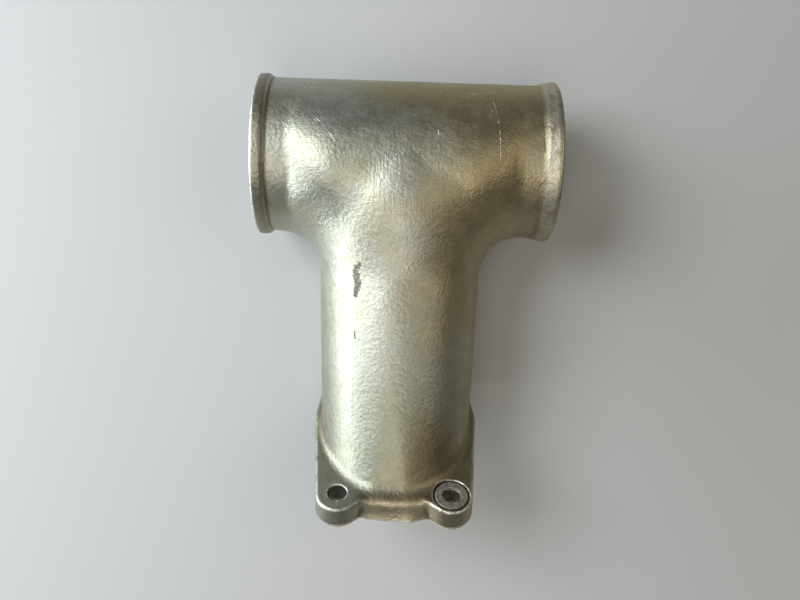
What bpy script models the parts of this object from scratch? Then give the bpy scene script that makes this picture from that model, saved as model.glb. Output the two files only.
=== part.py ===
"""Cast light-alloy tee pipe: a straight run with two hose ends and a branch that ends in an oblique
four-bolt flange, with the joint gasket on its face and one plain washer left in a spot face.

The casting lies on its two hose beads and on the heel of its flange. X runs along the run, the branch
points to -Y, and Z is up. The origin is at the middle of the bottom of the object's box.
"""
import math

import bmesh
import bpy
import numpy as np
from mathutils import Matrix, Vector

MM = 0.001

# Run: the tube that takes a hose on each end.
RUN_RADIUS = 31.75 * MM
RUN_WALL = 4.0 * MM
LEFT_ARM = 60.0 * MM            # from the branch's centre line to the left open end
RIGHT_ARM = 62.3 * MM
BEAD_RADIUS = 33.2 * MM         # crown of the hose beads
LEFT_BEAD_LENGTH = 4.8 * MM
RIGHT_BEAD_LENGTH = 6.2 * MM
BEAD_START_ANGLE = math.radians(35)   # where the crown's curve begins, on the end face
BEAD_STEPS = 7

# Branch: an oval tube that narrows toward its flange.
BRANCH_ROOT_WIDTH = 35.55 * MM  # half width, carried back to the run's centre line
BRANCH_WIDTH_TAPER = 0.042      # half width lost per length
BRANCH_ROOT_DEPTH = RUN_RADIUS  # half depth, flush with the run
BRANCH_DEPTH_TAPER = 0.0137
PORT_WALL = 6.0 * MM            # the wall at the flange
BLEND = 19.0 * MM               # reach of the fillet between the run and the branch
BLEND_START = -54.0 * MM        # where the branch becomes a plain tapering tube

# Crown: the body's upper side stands proud of the hose ends, with steep shoulders toward them.
CROWN_FOOT = 47.5 * MM          # from the branch's centre line to the foot of each shoulder
CROWN_FOOT_ROUND = 4.0 * MM
CROWN_SLOPE = 0.55              # of a shoulder, just inside its foot
CROWN_SHOULDER = 22.0 * MM      # length over which a shoulder flattens out
CROWN_BACK = 26.0 * MM          # where the crown begins behind the run's centre line
CROWN_FULL = -18.0 * MM         # where it stands highest, on its way down to BLEND_START
CROWN_SIDE = 25.4 * MM          # height over the centre lines where it is full

# Flange: measured in its own plane. U runs along the run, V up the plane, and the toe holes are at V = 0.
FLANGE_TILT = math.radians(38.86)     # between the flange's normal and the branch's centre line
TOE_CENTRE = Vector((0.0, -135.2 * MM, 29.5 * MM))   # between the toe holes, on the bolt side
FLANGE_THICKNESS = 9.2 * MM
BOLT_SPACING_U = 44.4 * MM
BOLT_RADIUS = 3.75 * MM
EAR_RADIUS = 8.4 * MM
EDGE_DRAFT = 0.4 * MM           # how much wider the plate is at its joint face
EDGE_CHAMFER = 0.7 * MM
SIDE_BULGE = (20.1 * MM, -41.0 * MM, 14.0 * MM)      # u, v and radius of the bulge beside the port
TOE_HOLLOW = (11.6 * MM, 7.7 * MM, -4.0 * MM)        # hollow between an ear and the toe web
TOE_WEB = (0.0, -17.8 * MM, 22.0 * MM)
TAPPED_RADIUS = 2.6 * MM        # blind heel holes, tapped from the joint face
TAPPED_DEPTH = 7.0 * MM
SPOT_FACE_RADIUS = 7.25 * MM
SPOT_FACE_DEPTH = 1.2 * MM

# Loose pieces.
TOUCH_GAP = 0.3 * MM
GASKET_THICKNESS = 0.8 * MM
GASKET_INSET = 1.0 * MM
GASKET_SHIFT = 0.3 * MM         # toward the toe, so the gasket clears the ground at the heel
GASKET_HOLE_RADIUS = 4.1 * MM
GASKET_PORT_MARGIN = 1.0 * MM
WASHER_RADIUS = 6.35 * MM
WASHER_HOLE_RADIUS = 3.55 * MM
WASHER_THICKNESS = 1.0 * MM
WASHER_EDGE_ROUND = 0.15 * MM

# Mesh density.
SEGMENTS = 48                   # around a tube
ARM_RINGS = 7                   # between a hose end and the junction
BRANCH_RINGS = 7
TUBE_RINGS = 3                  # from the junction's fillet to the flange
BORE_OVERRUN = 6.0 * MM         # how far a cutter runs past the face that it opens
HOLE_SEGMENTS = 32
ARC_POINTS = 9
SOLVE_STEPS = 40


# ---------------------------------------------------------------------------------- derived geometry

FLANGE_NORMAL = Vector((0.0, math.cos(FLANGE_TILT), math.sin(FLANGE_TILT)))   # away from the joint face
FLANGE_UP = Vector((0.0, -math.sin(FLANGE_TILT), math.cos(FLANGE_TILT)))      # V, toward the toe
ARMS = (                                                      # side, length and bead length
    (-1, LEFT_ARM, LEFT_BEAD_LENGTH),
    (1, RIGHT_ARM, RIGHT_BEAD_LENGTH),
)
JOINT_CENTRE = TOE_CENTRE - FLANGE_NORMAL * FLANGE_THICKNESS
HEEL_END = -(JOINT_CENTRE.z + BEAD_RADIUS) / FLANGE_UP.z      # V where the joint face meets the ground
HEEL_ROW = HEEL_END + EAR_RADIUS + EDGE_DRAFT                 # V of the heel holes
GASKET_TOP = -TOUCH_GAP                                       # heights over the joint face
GASKET_BOTTOM = GASKET_TOP - GASKET_THICKNESS
GASKET_TOE_V = EAR_RADIUS + EDGE_DRAFT - GASKET_INSET + GASKET_SHIFT
TOE_END_Y = (JOINT_CENTRE + FLANGE_UP * GASKET_TOE_V + FLANGE_NORMAL * GASKET_BOTTOM).y
PLACEMENT = Matrix.Translation((
    (LEFT_ARM - RIGHT_ARM) / 2,
    -(BEAD_RADIUS + TOE_END_Y) / 2,
    BEAD_RADIUS,
))
# Columns U, V and the normal, so a flange piece is modelled flat and then stood on the joint face.
JOINT_FRAME = Matrix.Translation(JOINT_CENTRE) @ Matrix((
    (1.0, FLANGE_UP.x, FLANGE_NORMAL.x, 0.0),
    (0.0, FLANGE_UP.y, FLANGE_NORMAL.y, 0.0),
    (0.0, FLANGE_UP.z, FLANGE_NORMAL.z, 0.0),
    (0.0, 0.0, 0.0, 1.0),
))


def wall_at(y):
    """Wall of the branch: as thick as the run's at the junction, thicker at the flange."""
    along = np.clip((y - BLEND_START) / (JOINT_CENTRE.y - BLEND_START), 0.0, 1.0)
    return RUN_WALL + (PORT_WALL - RUN_WALL) * along


def branch_half_sizes(y, inner):
    """Half width and half depth of the branch at y, outside or inside."""
    reach = np.maximum(-y, 0.0)
    wall = wall_at(y) if inner else 0.0
    width = BRANCH_ROOT_WIDTH - BRANCH_WIDTH_TAPER * reach - wall
    depth = BRANCH_ROOT_DEPTH - BRANCH_DEPTH_TAPER * reach - wall
    return width, depth


def smoothstep(low, high, value):
    share = np.clip((value - low) / (high - low), 0.0, 1.0)
    return share * share * (3 - 2 * share)


def crown_rise(points):
    """How far the crown lifts the body's upper side."""
    x, y, z = points[..., 0], points[..., 1], points[..., 2]
    inward = np.clip(CROWN_FOOT - np.abs(x), 0.0, CROWN_SHOULDER)
    foot = np.minimum(inward, CROWN_FOOT_ROUND)
    beyond = inward - foot
    flattening = beyond - beyond ** 2 / (2 * (CROWN_SHOULDER - CROWN_FOOT_ROUND))
    shoulder = CROWN_SLOPE * (foot ** 2 / (2 * CROWN_FOOT_ROUND) + flattening)
    lengthwise = smoothstep(CROWN_BACK, CROWN_FULL, y) * smoothstep(BLEND_START, CROWN_FULL, y)
    return shoulder * lengthwise * smoothstep(0.0, CROWN_SIDE, z)


def tee_distance(points, inner):
    """Signed distance, near enough, to the run and branch melted together by their fillet."""
    x, y, z = points[..., 0], points[..., 1], points[..., 2]
    run_length = np.hypot(y, z)
    run = run_length - (RUN_RADIUS - (RUN_WALL if inner else 0.0))
    run_normal = np.stack([np.zeros_like(x), y / run_length, z / run_length], -1)

    width, depth = branch_half_sizes(y, inner)
    beyond = np.maximum(y, 0.0)               # past the run's centre line the branch is a round cap
    scaled = np.sqrt((x / width) ** 2 + (z / depth) ** 2 + (beyond / depth) ** 2)
    slope = np.stack([x / width ** 2, beyond / depth ** 2, z / depth ** 2], -1) / scaled[..., None]
    slope_length = np.linalg.norm(slope, axis=-1)
    branch = (scaled - 1.0) / slope_length
    branch_normal = slope / slope_length[..., None]

    # The fillet is full where the walls meet square on and fades out where they lie flush.
    facing = np.clip((run_normal * branch_normal).sum(-1), -1.0, 1.0)
    reach = BLEND * (1.0 - facing) + 1e-9
    mix = np.maximum(reach - np.abs(run - branch), 0.0)
    return np.minimum(run, branch) - mix ** 2 / (4 * reach) - crown_rise(points)


def solve_outward(origins, directions, inner):
    """Points where rays that start inside the tee leave its surface."""
    directions = directions / np.linalg.norm(directions, axis=-1, keepdims=True)
    near = np.full(origins.shape[:-1], 5 * MM)
    far = np.full(origins.shape[:-1], 90 * MM)
    for _ in range(SOLVE_STEPS):
        middle = (near + far) / 2
        outside = tee_distance(origins + directions * middle[..., None], inner) > 0
        far = np.where(outside, middle, far)
        near = np.where(outside, near, middle)
    return origins + directions * near[..., None]


# ------------------------------------------------------------------------------------- mesh helpers

def ring_angles():
    return np.arange(SEGMENTS) * 2 * math.pi / SEGMENTS


def add_ring(mesh, points):
    return [mesh.verts.new(point) for point in points]


def bridge(mesh, rings):
    """Join a list of rings, each with the next, by quads."""
    for near, far in zip(rings, rings[1:]):
        for i in range(len(near)):
            j = (i + 1) % len(near)
            mesh.faces.new((near[i], near[j], far[j], far[i]))


def finish_mesh(mesh, name, smooth_angle=35):
    bmesh.ops.remove_doubles(mesh, verts=mesh.verts, dist=1e-6)
    bmesh.ops.recalc_face_normals(mesh, faces=mesh.faces)
    data = bpy.data.meshes.new(name)
    mesh.to_mesh(data)
    mesh.free()
    data.shade_smooth()
    data.set_sharp_from_angle(angle=math.radians(smooth_angle))
    return data


def add_object(name, data, matrix, material=None):
    piece = bpy.data.objects.new(name, data)
    piece.matrix_world = matrix
    bpy.context.scene.collection.objects.link(piece)
    if material:
        data.materials.append(material)
    return piece


def add_cutter(name, data, matrix):
    cutter = add_object(name, data, matrix)
    cutter.hide_render = True
    cutter.display_type = 'WIRE'
    return cutter


def boolean(piece, cutter, operation):
    modifier = piece.modifiers.new(operation.lower() + "_" + cutter.name, 'BOOLEAN')
    modifier.object = cutter
    modifier.operation = operation
    modifier.solver = 'EXACT'


# ----------------------------------------------------------------------------------------- the tee

def arm_rings(side, start, inner):
    """Rings from a straight stretch of the run at X = start to the planes where the arms meet."""
    angles = ring_angles()
    toward_branch = np.minimum(np.sin(angles), 0.0)
    rings = []
    for i in range(ARM_RINGS + 1):
        share = i / ARM_RINGS
        origins = np.zeros((SEGMENTS, 3))
        origins[:, 0] = start * (1 - share)
        directions = np.stack([-side * share * toward_branch, np.sin(angles), np.cos(angles)], -1)
        rings.append(solve_outward(origins, directions, inner))
    return rings


def branch_rings(inner):
    """Rings from the planes where the arms meet to the plain part of the branch."""
    angles = ring_angles()
    rings = []
    for i in range(BRANCH_RINGS + 1):
        share = 1 - i / BRANCH_RINGS
        origins = np.zeros((SEGMENTS, 3))
        origins[:, 1] = BLEND_START * (1 - share)
        directions = np.stack([np.sin(angles), -share * np.abs(np.sin(angles)), np.cos(angles)], -1)
        rings.append(solve_outward(origins, directions, inner))
    return rings


def bead_rings(side, arm, length):
    """Rings of a rounded hose bead, from the open end inward."""
    angles = ring_angles()
    rings = []
    for i in range(BEAD_STEPS + 1):
        turn = BEAD_START_ANGLE + (math.pi - BEAD_START_ANGLE) * i / BEAD_STEPS
        inward = length * (math.cos(BEAD_START_ANGLE) - math.cos(turn)) / (1 + math.cos(BEAD_START_ANGLE))
        radius = RUN_RADIUS + (BEAD_RADIUS - RUN_RADIUS) * math.sin(turn) ** 0.7
        x = np.full(SEGMENTS, side * (arm - inward))
        rings.append(np.stack([x, radius * np.sin(angles), radius * np.cos(angles)], -1))
    return rings


def tube_rings(end_offset, inner):
    """Rings from the fillet's end down the branch to a plane parallel to the flange."""
    angles = ring_angles()
    plane_point = np.array(TOE_CENTRE - FLANGE_NORMAL * end_offset)
    normal = np.array(FLANGE_NORMAL)
    end_y = np.full(SEGMENTS, plane_point[1])
    for _ in range(SOLVE_STEPS):
        width, depth = branch_half_sizes(end_y, inner)
        z = depth * np.cos(angles)
        end_y = plane_point[1] - (z - plane_point[2]) * normal[2] / normal[1]
    rings = []
    for i in range(1, TUBE_RINGS + 1):
        y = BLEND_START + (end_y - BLEND_START) * i / TUBE_RINGS
        width, depth = branch_half_sizes(y, inner)
        rings.append(np.stack([width * np.sin(angles), y, depth * np.cos(angles)], -1))
    return rings


def tee_mesh(name, inner):
    """The closed outside of the tee, or the core that hollows it."""
    mesh = bmesh.new()
    for side, arm, bead_length in ARMS:
        if inner:
            ends = arm_rings(side, side * (arm + BORE_OVERRUN), inner)
        else:
            beads = bead_rings(side, arm, bead_length)
            ends = beads + arm_rings(side, side * (arm - bead_length), inner)
        rings = [add_ring(mesh, ring) for ring in ends]
        bridge(mesh, rings)
        mesh.faces.new(rings[0])
    down = FLANGE_THICKNESS + BORE_OVERRUN if inner else FLANGE_THICKNESS / 2
    rings = [add_ring(mesh, ring) for ring in branch_rings(inner) + tube_rings(down, inner)]
    bridge(mesh, rings)
    mesh.faces.new(rings[-1])
    return finish_mesh(mesh, name)


# -------------------------------------------------------------------------------------- the flange

def flange_discs():
    """Discs that the flange's edge runs round, counterclockwise: u, v, radius, hollow if negative."""
    half = BOLT_SPACING_U / 2
    bulge_u, bulge_v, bulge_radius = SIDE_BULGE
    hollow_u, hollow_v, hollow_radius = TOE_HOLLOW
    return [
        (half, 0.0, EAR_RADIUS),
        (hollow_u, hollow_v, hollow_radius),
        TOE_WEB,
        (-hollow_u, hollow_v, hollow_radius),
        (-half, 0.0, EAR_RADIUS),
        (-bulge_u, bulge_v, bulge_radius),
        (-half, HEEL_ROW, EAR_RADIUS),
        (half, HEEL_ROW, EAR_RADIUS),
        (bulge_u, bulge_v, bulge_radius),
    ]


def tangent_normal(first, second):
    """Outward normal of the straight edge that runs from one disc to the next."""
    step = np.subtract(second[:2], first[:2])
    distance = np.hypot(*step)
    along = step / distance
    right = np.array([along[1], -along[0]])
    lean = (first[2] - second[2]) / distance
    return along * lean + right * math.sqrt(1 - lean ** 2)


def belt(discs, grow):
    """Closed outline round the discs, moved outward by grow."""
    discs = [(u, v, radius + grow) for u, v, radius in discs]
    outline = []
    for i, disc in enumerate(discs):
        before = tangent_normal(discs[i - 1], disc)
        after = tangent_normal(disc, discs[(i + 1) % len(discs)])
        start = math.atan2(before[1], before[0])
        turn = math.atan2(after[1], after[0]) - start
        turn = (turn + math.pi) % (2 * math.pi) - math.pi
        for j in range(ARC_POINTS):
            angle = start + turn * j / (ARC_POINTS - 1)
            outline.append((disc[0] + disc[2] * math.cos(angle), disc[1] + disc[2] * math.sin(angle)))
    return outline


def plate_mesh(name, levels):
    """A plate lofted through outlines at given heights over the joint face."""
    mesh = bmesh.new()
    rings = [add_ring(mesh, [(u, v, height) for u, v in outline]) for outline, height in levels]
    bridge(mesh, rings)
    mesh.faces.new(rings[0])
    mesh.faces.new(rings[-1])
    return finish_mesh(mesh, name)


def flange_plate():
    discs = flange_discs()
    chamfer_height = FLANGE_THICKNESS - EDGE_CHAMFER
    return plate_mesh("flange_plate", [
        (belt(discs, EDGE_DRAFT), 0.0),
        (belt(discs, EDGE_DRAFT * EDGE_CHAMFER / FLANGE_THICKNESS), chamfer_height),
        (belt(discs, -EDGE_CHAMFER), FLANGE_THICKNESS),
    ])


def pin_mesh(name, u, v, radius, bottom, top, segments=HOLE_SEGMENTS):
    """A round pin along the flange's normal."""
    mesh = bmesh.new()
    rings = []
    for height in (bottom, top):
        turns = [2 * math.pi * i / segments for i in range(segments)]
        rings.append(add_ring(mesh, [
            (u + radius * math.cos(turn), v + radius * math.sin(turn), height) for turn in turns
        ]))
    bridge(mesh, rings)
    mesh.faces.new(rings[0])
    mesh.faces.new(rings[1])
    return finish_mesh(mesh, name)


def port_outline(margin):
    """U and V of the bore's mouth in the joint face, moved outward by margin."""
    ring = tube_rings(FLANGE_THICKNESS, inner=True)[-1]
    mouth = [JOINT_FRAME.inverted() @ Vector(point) for point in ring]
    centre = sum(mouth, Vector()) / len(mouth)
    outline = []
    for point in mouth:
        outward = (point - centre).normalized() * margin
        outline.append((point.x + outward.x, point.y + outward.y))
    return outline


# ------------------------------------------------------------------------------------ the three pieces

def make_material(name, color, roughness, metallic):
    material = bpy.data.materials.new(name)
    material.use_nodes = True
    shader = material.node_tree.nodes["Principled BSDF"]
    shader.inputs["Base Color"].default_value = (*color, 1.0)
    shader.inputs["Roughness"].default_value = roughness
    shader.inputs["Metallic"].default_value = metallic
    material.diffuse_color = (*color, 1.0)
    return material


def make_casting():
    """Run, branch, hose beads and flange: one casting, bored, drilled and spot faced."""
    material = make_material("cast_alloy", (0.42, 0.40, 0.30), 0.42, 0.85)
    casting = add_object("tee_casting", tee_mesh("tee_casting", inner=False), PLACEMENT, material)
    flange_place = PLACEMENT @ JOINT_FRAME
    boolean(casting, add_cutter("flange_plate", flange_plate(), flange_place), 'UNION')
    boolean(casting, add_cutter("bore_core", tee_mesh("bore_core", inner=True), PLACEMENT), 'DIFFERENCE')
    half = BOLT_SPACING_U / 2
    through = FLANGE_THICKNESS + BORE_OVERRUN
    for label, u in (("left", -half), ("right", half)):
        drill = pin_mesh(label + "_toe_drill", u, 0.0, BOLT_RADIUS, -BORE_OVERRUN, through)
        boolean(casting, add_cutter(label + "_toe_drill", drill, flange_place), 'DIFFERENCE')
        tap = pin_mesh(label + "_heel_drill", u, HEEL_ROW, TAPPED_RADIUS, -BORE_OVERRUN, TAPPED_DEPTH)
        boolean(casting, add_cutter(label + "_heel_drill", tap, flange_place), 'DIFFERENCE')
    floor = FLANGE_THICKNESS - SPOT_FACE_DEPTH
    spot = pin_mesh("spot_facer", half, 0.0, SPOT_FACE_RADIUS, floor, through)
    boolean(casting, add_cutter("spot_facer", spot, flange_place), 'DIFFERENCE')
    return casting


def make_gasket():
    """Thin joint between the flange and what it bolts to, a little inside the flange's edge."""
    material = make_material("gasket_paper", (0.55, 0.47, 0.33), 0.9, 0.0)
    outline = [(u, v + GASKET_SHIFT) for u, v in belt(flange_discs(), EDGE_DRAFT - GASKET_INSET)]
    place = PLACEMENT @ JOINT_FRAME
    data = plate_mesh("flange_gasket", [(outline, GASKET_BOTTOM), (outline, GASKET_TOP)])
    gasket = add_object("flange_gasket", data, place, material)

    below = GASKET_BOTTOM - BORE_OVERRUN
    above = GASKET_TOP + BORE_OVERRUN
    mouth = port_outline(GASKET_PORT_MARGIN)
    port = plate_mesh("gasket_port", [(mouth, below), (mouth, above)])
    boolean(gasket, add_cutter("gasket_port", port, place), 'DIFFERENCE')
    for label, u in (("left", -BOLT_SPACING_U / 2), ("right", BOLT_SPACING_U / 2)):
        for row, v in (("toe", 0.0), ("heel", HEEL_ROW)):
            name = label + "_" + row + "_gasket_punch"
            punch = pin_mesh(name, u, v, GASKET_HOLE_RADIUS, below, above)
            boolean(gasket, add_cutter(name, punch, place), 'DIFFERENCE')
    return gasket


def make_washer():
    """Plain washer lying in the right toe ear's spot face."""
    material = make_material("washer_steel", (0.30, 0.27, 0.23), 0.6, 0.7)
    bottom = FLANGE_THICKNESS - SPOT_FACE_DEPTH + TOUCH_GAP
    top = bottom + WASHER_THICKNESS
    profile = [
        (WASHER_HOLE_RADIUS, bottom),
        (WASHER_RADIUS - WASHER_EDGE_ROUND, bottom),
        (WASHER_RADIUS, bottom + WASHER_EDGE_ROUND),
        (WASHER_RADIUS, top - WASHER_EDGE_ROUND),
        (WASHER_RADIUS - WASHER_EDGE_ROUND, top),
        (WASHER_HOLE_RADIUS + WASHER_EDGE_ROUND, top),
        (WASHER_HOLE_RADIUS, top - WASHER_EDGE_ROUND),
    ]
    mesh = bmesh.new()
    turns = [2 * math.pi * i / HOLE_SEGMENTS for i in range(HOLE_SEGMENTS)]
    rings = []
    for radius, height in profile:
        rings.append(add_ring(mesh, [
            (radius * math.cos(turn), radius * math.sin(turn), height) for turn in turns
        ]))
    bridge(mesh, rings + rings[:1])
    place = PLACEMENT @ JOINT_FRAME @ Matrix.Translation((BOLT_SPACING_U / 2, 0.0, 0.0))
    return add_object("toe_bolt_washer", finish_mesh(mesh, "toe_bolt_washer"), place, material)


def main():
    for old in list(bpy.data.objects):
        bpy.data.objects.remove(old, do_unlink=True)
    make_casting()
    make_gasket()
    make_washer()


main()
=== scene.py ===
"""The looks of the cast tee pipe: its finely shaped casting, the ragged gasket and the corroded washer.

The casting's surface is described as one signed distance field in millimetres, about the point where the
run's and the branch's centre lines meet. The field is meshed, thinned where it is smooth, and put back
onto itself, so edges and fillets are real geometry.
"""
import math

import bpy
import numpy as np
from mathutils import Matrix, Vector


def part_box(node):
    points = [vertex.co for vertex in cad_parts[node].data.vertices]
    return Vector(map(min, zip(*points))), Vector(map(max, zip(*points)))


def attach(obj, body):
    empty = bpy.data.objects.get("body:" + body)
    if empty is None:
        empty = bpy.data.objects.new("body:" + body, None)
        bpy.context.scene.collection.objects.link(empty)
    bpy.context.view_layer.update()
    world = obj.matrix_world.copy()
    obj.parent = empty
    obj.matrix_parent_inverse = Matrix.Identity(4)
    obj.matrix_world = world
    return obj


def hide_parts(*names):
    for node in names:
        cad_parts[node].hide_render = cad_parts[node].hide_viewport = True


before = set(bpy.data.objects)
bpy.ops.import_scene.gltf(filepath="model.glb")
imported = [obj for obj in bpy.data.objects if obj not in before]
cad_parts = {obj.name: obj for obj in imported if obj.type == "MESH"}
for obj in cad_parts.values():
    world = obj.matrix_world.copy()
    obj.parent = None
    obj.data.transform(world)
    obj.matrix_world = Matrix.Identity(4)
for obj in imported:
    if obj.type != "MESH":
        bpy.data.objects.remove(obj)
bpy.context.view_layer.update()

import openvdb
from mathutils import Matrix, Vector

MM = 0.001

# ------------------------------------------------------------------------- driving sizes, millimetres

RUN_RADIUS = 31.75
RUN_WALL = 4.0
BEAD_RADIUS = 33.2             # crown of the hose beads
LEFT_ARM = 60.0                # from the branch's centre line to each open end
RIGHT_ARM = 62.3
# Side, arm length, bead length, how softly the bead falls to the tube, roundness of its outer edge, and
# how much its top slopes down toward the tube.
HOSE_ENDS = (
    (-1, LEFT_ARM, 4.8, 2.0, 0.8, 0.0),
    (1, RIGHT_ARM, 6.8, 2.5, 1.3, 0.28),
)
BEAD_EDGE = 1.2                # roundness of a bead's two edges

BRANCH_ROOT_WIDTH = 35.55      # half width, carried back to the run's centre line
BRANCH_WIDTH_TAPER = 0.042
BRANCH_ROOT_DEPTH = RUN_RADIUS # half depth, flush with the run
BRANCH_DEPTH_TAPER = 0.0137
BRANCH_WALL_START = -54.0      # from here the wall grows toward the flange
PORT_WALL = 6.0                # the wall at the flange
BLEND = 19.0                   # reach of the fillet between the run and the branch

# The crown: the body's upper side stands proud of the hose ends, with steep shoulders toward them.
CROWN_FOOT = 47.5              # from the branch's centre line to the foot of each shoulder
CROWN_FOOT_ROUND = 4.0
CROWN_SLOPE = 0.55             # of a shoulder, just inside its foot
CROWN_SHOULDER = 22.0          # length over which a shoulder flattens out
CROWN_BACK = 26.0              # where the crown begins behind the run's centre line
CROWN_FULL = -18.0             # where it stands highest
CROWN_FRONT = -54.0            # where it ends on the branch
CROWN_SIDE = 25.4              # height over the centre lines where it is full

FLANGE_TILT = math.radians(38.86)
FLANGE_NORMAL = np.array([0.0, math.cos(FLANGE_TILT), math.sin(FLANGE_TILT)])
FLANGE_UP = np.array([0.0, -math.sin(FLANGE_TILT), math.cos(FLANGE_TILT)])
FLANGE_THICKNESS = 9.2
TOE_CENTRE = np.array([0.0, -135.2, 29.5])           # midway between the toe holes, on the upper face
JOINT_CENTRE = TOE_CENTRE - FLANGE_NORMAL * FLANGE_THICKNESS
HALF_SPACING = 22.2            # half the distance between two bolt holes
EAR_RADIUS = 8.4
EDGE_DRAFT = 0.4               # how much the flange's edge widens toward the joint face
HEEL_END = -(JOINT_CENTRE[2] + BEAD_RADIUS) / FLANGE_UP[2]     # V where the joint face meets the ground
HEEL_ROW = HEEL_END + EAR_RADIUS + EDGE_DRAFT                  # V of the heel holes
SIDE_BULGE = (20.1, -41.0, 14.0)                     # discs of the edge: u, v, radius, hollow if negative
TOE_HOLLOW = (11.6, 7.7, -4.0)
TOE_WEB = (0.0, -17.8, 22.0)
BOLT_RADIUS = 3.75
TAPPED_RADIUS = 2.6            # blind heel holes
TAPPED_DEPTH = 7.0
SPOT_FACE_RADIUS = 7.25
SPOT_FACE_DEPTH = 1.2

PLATE_EDGE = 1.3               # roundness of the flange's upper edge
WEB_EDGE = 4.2                 # the same at the toe web, where the casting flows over
TUBE_FILLET = 3.0              # between the branch and the flange
MACHINED_EDGE = 0.45           # a broken sharp edge
BORE_EDGE = 0.72               # the same at the mouths of the bore

FACET_POINT = np.array([-2.5, -101.0, 30.4])         # where the dressed flat on the branch begins
FACET_NORMAL = np.array([-0.082, -0.042, 1.0])
FACET_RUN_OUT = 0.15           # how fast the flat lifts off the branch behind that point
FACET_EDGE = 0.3

TOUCH_GAP = 0.3                # between the casting and the pieces that lie on it
GASKET_THICKNESS = 0.8
GASKET_INSET = 0.75            # from the flange's edge
GASKET_SHIFT = 0.3             # toward the toe
GASKET_HOLE_RADIUS = 4.1
GASKET_PORT_MARGIN = 1.0
GASKET_EDGE_ROUND = 0.08
GASKET_TEAR = 0.35             # depth of its ragged edge
GASKET_STEP = 0.45             # between the points of that edge
WASHER_RADIUS = 6.35
WASHER_HOLE_RADIUS = 3.55
WASHER_THICKNESS = 1.0
WASHER_EDGE_ROUND = 0.18
WASHER_DENT = 0.05

# Low swells that a sand mould leaves: height, size of a swell, seed.
COARSE_SWELL = (0.045, 9.0, 11)
FINE_SWELL = (0.022, 2.6, 21)
RELIEF_HEIGHT = (1.0, 2.5)     # over the joint face, where the swells begin and where they are full

MESH_STEP = 0.5
MESH_TRIANGLES = 190_000       # about as many as the casting keeps
MESH_MARGIN = 3.0              # clear space kept round the casting
MESH_TOE = 12.0                # the same before the centre of the joint face, for the toe's ears
MESH_TOP = 14.0                # the same over the toe holes, for the ears and the crown
SAMPLE_BLOCK = 4               # the field is tried once a block, to find the surface
THIN_LEVELS = 4                # steps between a fine edge and a smooth wall
THIN_LEAST = 0.15              # how freely the mesh collapses on an edge
SETTLE_STEPS = 2               # moves that put the thinned mesh back onto the field
SETTLE_MOVE = 0.4              # the longest of them
TINY = 1e-6                    # keeps a division away from zero

# --------------------------------------------------------------------------------------------- finish

# Each mask of the casting's finish grows from 0 to 1 between two of these limits.
SHARP_BEND = (0.06, 0.30)      # curvature in 1/mm that keeps the mesh fine
WORN_BEND = (0.35, 1.3)        # curvature of a worn edge
CORNER_SHADE_BEND = (0.10, 0.45)      # and of a corner painted darker, with painted shade and dirt
BORE_GAP = (0.6, 0.2)          # distance from the bore's wall
JOINT_GAP = (0.25, 0.05)       # height over the joint face
END_GAP = (-0.35, -0.1)        # how far past the plane of a hose end
HOLE_WALL = (0.2, 0.05)        # distance outside a drilled hole's radius
HOLE_DEPTH = (0.2, 1.2)        # depth below a drilled hole's mouth

# The right bead's bright band is wear and a painted highlight.
RIGHT_BRIGHT_BAND = 4.2          # from the open end to the middle of each bead's band
# Dark bead bands: dirt and painted shade, the right bead's outer edge being its shaded side.
LEFT_DARK_BAND = 3.2
BEAD_WEAR_AND_HIGHLIGHT = 0.35
BEAD_SHADE_AND_DIRT = 0.7

# Marks on the casting: start, end and half width, in millimetres in the object's own frame.
MARK_DEPTH = 4.0               # a mark stays on its own side of the wall
MARK_REACH = 3.0               # how far beyond its outline a mark is noted
NO_MARK = (9.0, 9.0, 1.0)      # across, past its ends and half width, far from every mark
BARE_MARKS = (
    ((33.4, 76.6, 58.6), (34.9, 66.6, 63.7), 0.26),
    ((34.9, 64.0, 64.3), (35.1, 53.0, 64.9), 0.20),
    ((25.0, 80.6, 55.2), (27.5, 77.8, 57.9), 0.24),
    ((27.5, 81.2, 54.6), (37.0, 81.9, 53.8), 0.26),
    ((-44.3, 81.1, 54.6), (-30.0, 81.5, 54.1), 0.20),
    ((-4.8, 56.5, 64.9), (-3.0, 55.9, 64.9), 0.26),
    ((11.7, 62.6, 64.6), (11.7, 60.6, 64.8), 0.36),
    ((2.2, 68.5, 63.0), (3.4, 68.0, 63.2), 0.22),
    ((-35.5, 66.0, 63.7), (-33.8, 64.4, 64.0), 0.35),
    ((-30.5, 60.5, 64.9), (-28.0, 57.0, 64.9), 0.30),
    ((-34.3, -55.1, 34.6), (-34.1, -55.7, 35.4), 0.60),
)
DARK_MARKS = (
    ((-17.0, 11.0, 60.4), (-18.7, 8.6, 59.0), 1.35),
    ((-18.3, 8.0, 59.4), (-17.6, 3.6, 60.0), 1.85),
    ((-18.0, 3.2, 59.7), (-18.4, -0.6, 59.3), 1.30),
    ((-18.4, -15.4, 58.9), (-18.0, -17.8, 59.0), 0.42),
    ((53.0, 61.6, 65.1), (53.3, 56.6, 65.3), 0.36),
    ((53.9, 45.4, 63.2), (51.6, 42.6, 61.6), 0.34),
    ((-13.5, 44.9, 63.3), (-12.6, 43.8, 63.2), 0.40),
    ((-11.4, 35.2, 63.3), (-10.9, 34.6, 63.4), 0.35),
    ((-37.6, 64.6, 63.9), (-36.9, 64.0, 64.0), 0.35),
)

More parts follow.
